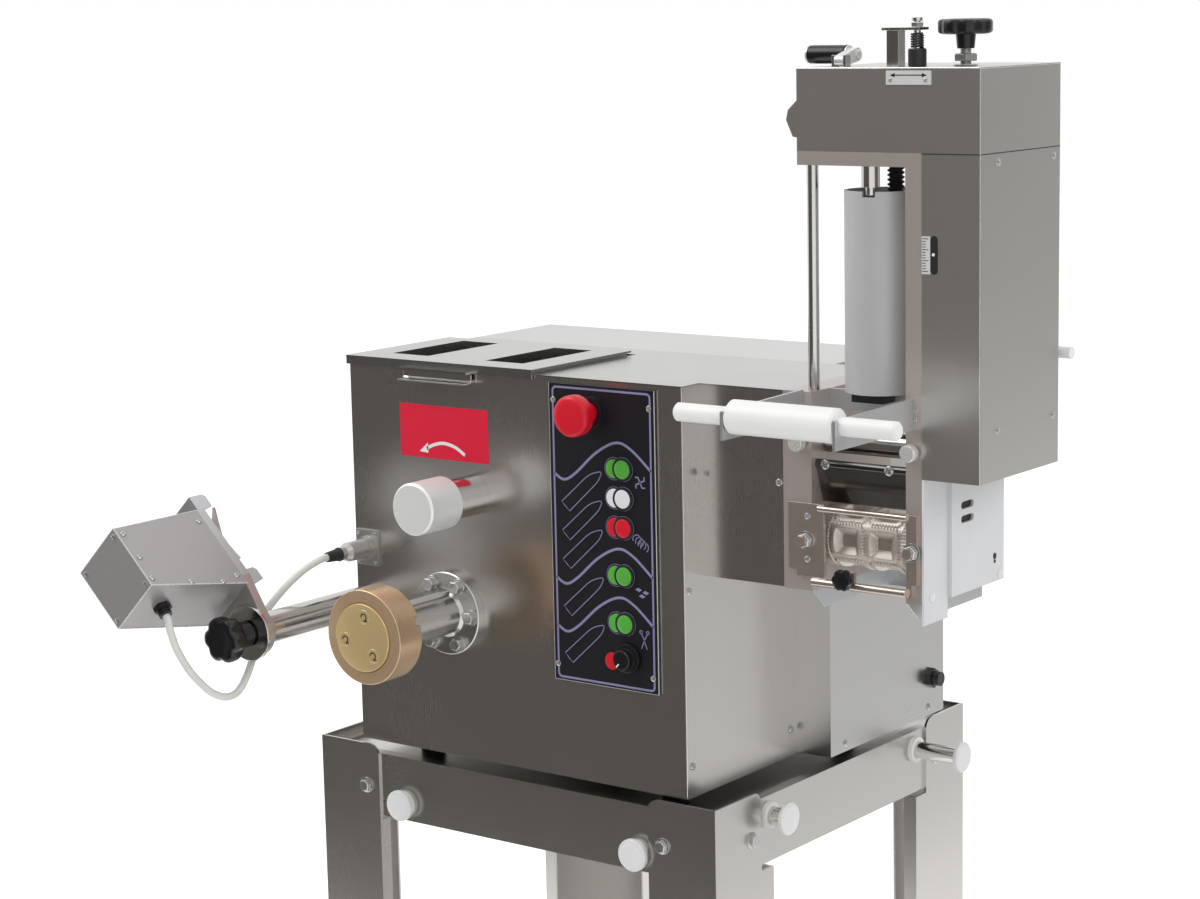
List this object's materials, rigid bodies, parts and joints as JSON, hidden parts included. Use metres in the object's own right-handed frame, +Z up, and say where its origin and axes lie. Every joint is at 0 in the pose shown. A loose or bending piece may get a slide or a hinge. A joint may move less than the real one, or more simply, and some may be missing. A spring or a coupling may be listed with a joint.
{
  "type": "pasta extruder",
  "caption": "Bench-top pasta machine on a sheet-metal stand: mixer, screw extruder with swing-in cutter, and a ravioli unit with its filling tower.",
  "frame": {"origin": "on the floor, in the middle of the machine's overall length and depth", "axes": "+X to the operator's right, -Y towards the operator, +Z up"},
  "size_m": [0.8328, 0.752, 1.3775],
  "materials": {
    "brushed_sheet": "brushed, vertical grain",
    "polished_steel": "polished",
    "galvanised_sheet": "galvanised, satin",
    "satin_aluminium": "turned, satin",
    "gloss_black": "glossy",
    "black_rubber": "matte",
    "white_nylon": "smooth",
    "red_plastic": "glossy",
    "panel_film": "satin film with printed lines",
    "bronze": "turned bronze",
    "yellow_brass": "turned brass",
    "mould_bronze": "cast bronze",
    "white_sheet": "smooth white",
    "white_sleeve": "PVC"
  },
  "bodies": {
    "base": {"stand_legs": "brushed_sheet", "stand_rails": "brushed_sheet", "stand_top": "brushed_sheet", "leveling_feet": "gloss_black", "rod_guides": "white_nylon", "machine_feet": "black_rubber", "housing_front": "brushed_sheet", "rear_housing": "brushed_sheet", "support_box": "brushed_sheet", "deck_plate": "brushed_sheet", "mixing_tank": "polished_steel", "gate_sleeve": "polished_steel", "control_panel": "panel_film", "cutter_socket": "satin_aluminium", "cable_plug": "satin_aluminium", "cutter_cable": "white_sleeve", "extruder_barrel": "polished_steel", "ring_nut": "bronze", "die": "yellow_brass", "cutter_rod": "polished_steel", "lead_gland": "gloss_black", "ravioli_left_plate": "brushed_sheet", "ravioli_upright": "brushed_sheet", "head_lintel": "brushed_sheet", "round_post": "polished_steel", "tower_cover": "brushed_sheet", "tower_head": "brushed_sheet", "filling_cylinder": "satin_aluminium", "cylinder_foot": "gloss_black", "locking_pin": "polished_steel", "rear_peg": "white_nylon", "press_screw": "gloss_black", "pin_bracket": "galvanised_sheet", "mould_cradle": "polished_steel", "scraper": "galvanised_sheet", "ravioli_chute": "galvanised_sheet", "side_guard": "white_sheet", "spring_latch": "polished_steel"},
    "lid": {"mixer_lid": "brushed_sheet"},
    "mixer": {"mixing_shaft": "polished_steel"},
    "gate": {"gate_knob": "satin_aluminium"},
    "rod_front_left": {"tray_rod_front_left": "polished_steel"},
    "rod_front_right": {"tray_rod_front_right": "polished_steel"},
    "rod_side_front": {"tray_rod_side_front": "polished_steel"},
    "rod_side_rear": {"tray_rod_side_rear": "polished_steel"},
    "cutter": {"cutter_arm": "polished_steel", "cutter_motor_box": "brushed_sheet", "cutter_guard": "galvanised_sheet", "cutter_gland": "gloss_black"},
    "rotor": {"cutter_rotor": "polished_steel"},
    "clamp_knob": {"cutter_clamp_knob": "gloss_black"},
    "stop": {"stop_button": "red_plastic"},
    "dial": {"speed_dial": "gloss_black"},
    "pin": {"rolling_pin": "white_nylon"},
    "sheet_roller": {"sheet_roller": "polished_steel"},
    "mould_front": {"mould_roller_front": "mould_bronze"},
    "mould_back": {"mould_roller_back": "mould_bronze"},
    "latch_knob": {"cradle_knob": "gloss_black"},
    "crank": {"crank_lever": "satin_aluminium"},
    "adjuster": {"adjusting_knob": "gloss_black"}
  },
  "joints": [
    {"name": "lid_hinge", "type": "hinge", "parent": "base", "child": "lid", "pos_m": [-0.18707, 0.078, 1.0422], "axis": [-1, 0, 0], "range_deg": [0, 100]},
    {"name": "mixer_spin", "type": "hinge", "parent": "base", "child": "mixer", "pos_m": [-0.18707, -0.007, 0.9255], "axis": [0, 1, 0], "continuous": true},
    {"name": "gate_turn", "type": "hinge", "parent": "base", "child": "gate", "pos_m": [-0.14707, -0.157, 0.914], "axis": [0, 1, 0], "range_deg": [0, 90]},
    {"name": "rod_front_left_slide", "type": "slide", "parent": "base", "child": "rod_front_left", "axis": [0, -1, 0], "range_m": [0, 0.28]},
    {"name": "rod_front_right_slide", "type": "slide", "parent": "base", "child": "rod_front_right", "axis": [0, -1, 0], "range_m": [0, 0.28]},
    {"name": "rod_side_front_slide", "type": "slide", "parent": "base", "child": "rod_side_front", "axis": [1, 0, 0], "range_m": [-0.005, 0.25]},
    {"name": "rod_side_rear_slide", "type": "slide", "parent": "base", "child": "rod_side_rear", "axis": [1, 0, 0], "range_m": [-0.038, 0.22]},
    {"name": "cutter_swing", "type": "hinge", "parent": "base", "child": "cutter", "pos_m": [-0.29057, -0.257, 0.7905], "axis": [0, 1, 0], "range_deg": [0, 135]},
    {"name": "cutter_spin", "type": "hinge", "parent": "cutter", "child": "rotor", "pos_m": [-0.36835, -0.232, 0.86828], "axis": [0, 1, 0], "continuous": true},
    {"name": "clamp_turn", "type": "hinge", "parent": "base", "child": "clamp_knob", "pos_m": [-0.29057, -0.287, 0.7905], "axis": [0, 1, 0], "range_deg": [0, 120]},
    {"name": "stop_press", "type": "slide", "parent": "base", "child": "stop", "axis": [0, 1, 0], "range_m": [0, 0.005]},
    {"name": "dial_turn", "type": "hinge", "parent": "base", "child": "dial", "pos_m": [0.04393, -0.097, 0.7725], "axis": [0, 1, 0], "range_deg": [0, 270]},
    {"name": "pin_spin", "type": "hinge", "parent": "base", "child": "pin", "pos_m": [0.28293, -0.177, 1.0335], "axis": [1, 0, 0], "continuous": true},
    {"name": "sheet_roller_spin", "type": "hinge", "parent": "base", "child": "sheet_roller", "pos_m": [0.28393, -0.0264, 0.9925], "axis": [1, 0, 0], "continuous": true},
    {"name": "mould_front_spin", "type": "hinge", "parent": "base", "child": "mould_front", "pos_m": [0.28393, -0.0214, 0.9025], "axis": [1, 0, 0], "continuous": true},
    {"name": "mould_back_spin", "type": "hinge", "parent": "base", "child": "mould_back", "pos_m": [0.28393, 0.0372, 0.9025], "axis": [1, 0, 0], "continuous": true},
    {"name": "latch_knob_turn", "type": "hinge", "parent": "base", "child": "latch_knob", "pos_m": [0.27693, -0.072, 0.8725], "axis": [0, 1, 0], "range_deg": [0, 120]},
    {"name": "crank_tilt", "type": "hinge", "parent": "base", "child": "crank", "pos_m": [0.25893, -0.0504, 1.3405], "axis": [1, 0, 0], "range_deg": [0, 80]},
    {"name": "adjuster_turn", "type": "hinge", "parent": "base", "child": "adjuster", "pos_m": [0.36413, -0.0044, 1.3505], "axis": [0, 0, 1], "range_deg": [0, 330]}
  ],
  "couplings": [
    {"joint": "mould_back_spin", "follows": "mould_front_spin", "ratio": -1}
  ]
}
